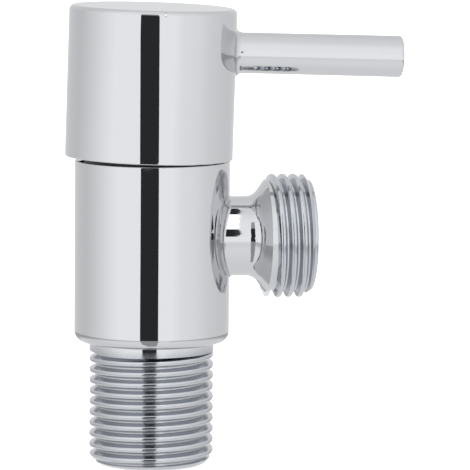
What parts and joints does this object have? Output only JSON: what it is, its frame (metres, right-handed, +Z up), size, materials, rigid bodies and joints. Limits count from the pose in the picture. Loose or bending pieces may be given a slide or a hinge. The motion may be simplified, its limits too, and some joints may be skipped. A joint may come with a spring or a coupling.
{
  "type": "angle stop valve",
  "caption": "Quarter-turn angle stop valve with a threaded inlet below, a threaded outlet at the side and a cylindrical lever cap handle on top.",
  "frame": {"origin": "centre of the inlet's end face, on the axis of the inlet, the headwork and the spindle", "axes": "+Z runs up the inlet and the body to the handle, +X runs out along the outlet, and the lever points along +X when the valve is open"},
  "size_m": [0.057, 0.0282, 0.0775],
  "materials": {
    "chrome_body": "bright chrome plate on forged and turned brass",
    "chrome_handle": "bright chrome plate on die-cast zinc",
    "brass": "bare turned brass",
    "seal_rubber": "matte black nitrile rubber",
    "ceramic": "lapped white alumina ceramic",
    "white_plastic": "natural acetal",
    "black_plastic": "black acetal",
    "steel": "plain stainless steel"
  },
  "bodies": {
    "valve": {"valve_body": "chrome_body", "cartridge_housing": "brass", "housing_o_ring": "seal_rubber", "seat_seal": "seal_rubber", "seal_support_ring": "white_plastic", "fixed_disc": "ceramic", "thrust_washer": "white_plastic", "glide_ring": "black_plastic"},
    "handle": {"lever_handle": "chrome_handle", "spline_adapter": "white_plastic", "grub_screw": "steel", "screw_cover": "chrome_handle", "spindle": "brass", "spindle_o_ring_lower": "seal_rubber", "spindle_o_ring_upper": "seal_rubber", "circlip": "steel", "moving_disc": "ceramic"}
  },
  "joints": [
    {"name": "handle_turn", "type": "hinge", "parent": "valve", "child": "handle", "pos_m": [0, 0, 0.0514], "axis": [0, 0, 1], "range_deg": [-90, 0]}
  ]
}
